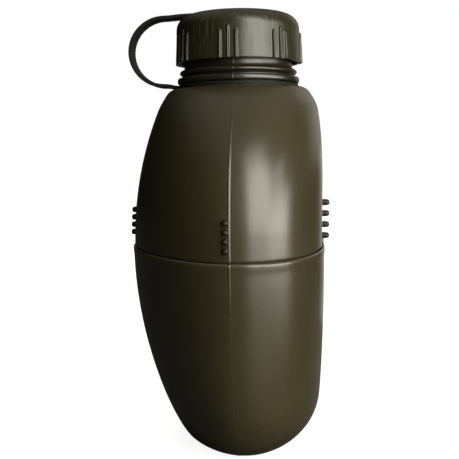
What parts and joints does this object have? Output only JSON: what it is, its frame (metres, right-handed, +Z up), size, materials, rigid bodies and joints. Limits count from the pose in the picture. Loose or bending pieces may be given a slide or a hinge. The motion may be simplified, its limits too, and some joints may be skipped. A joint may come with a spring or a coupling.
{
  "type": "canteen with cup",
  "caption": "Kidney-section plastic canteen with a ribbed screw cap held by a loop strap, nested in a drinking cup that covers its lower half.",
  "frame": {"origin": "on the neck's axis, at the flat that the cup stands on", "axes": "+Z up along the neck's axis; the long side runs along Y; -X is the rounded front, +X the flatter, hollowed back"},
  "size_m": [0.0906, 0.143, 0.1886],
  "materials": {
    "cup_plastic": "satin dark olive-brown moulded plastic",
    "shell_plastic": "satin dark olive-brown moulded plastic",
    "cap_plastic": "satin olive-brown moulded plastic, finely scuffed",
    "seal_rubber": "matt pale grey sealing disc",
    "strap_plastic": "matt near-black green flexible moulding"
  },
  "bodies": {
    "cup": {"cup": "cup_plastic"},
    "canteen": {"bottle_body": "shell_plastic", "strap_neck_ring": "strap_plastic", "strap_band": "strap_plastic"},
    "strap_eye": {"strap_cap_ring": "strap_plastic"},
    "cap": {"screw_cap": "cap_plastic", "cap_seal": "seal_rubber", "cap_stud": "cap_plastic"}
  },
  "joints": [
    {"name": "bottle_lift", "type": "slide", "parent": "cup", "child": "canteen", "axis": [0, 0, 1], "range_m": [0, 0.1]},
    {"name": "cap_rise", "type": "slide", "parent": "canteen", "child": "strap_eye", "axis": [0, 0, 1], "range_m": [0, 0.0105], "deforming": ["strap_band"]},
    {"name": "cap_turn", "type": "hinge", "parent": "strap_eye", "child": "cap", "pos_m": [0, 0, 0.1652], "axis": [0, 0, 1], "range_deg": [0, 900]}
  ],
  "couplings": [
    {"joint": "cap_rise", "follows": "cap_turn", "m_per_rad": 0.00066845}
  ]
}
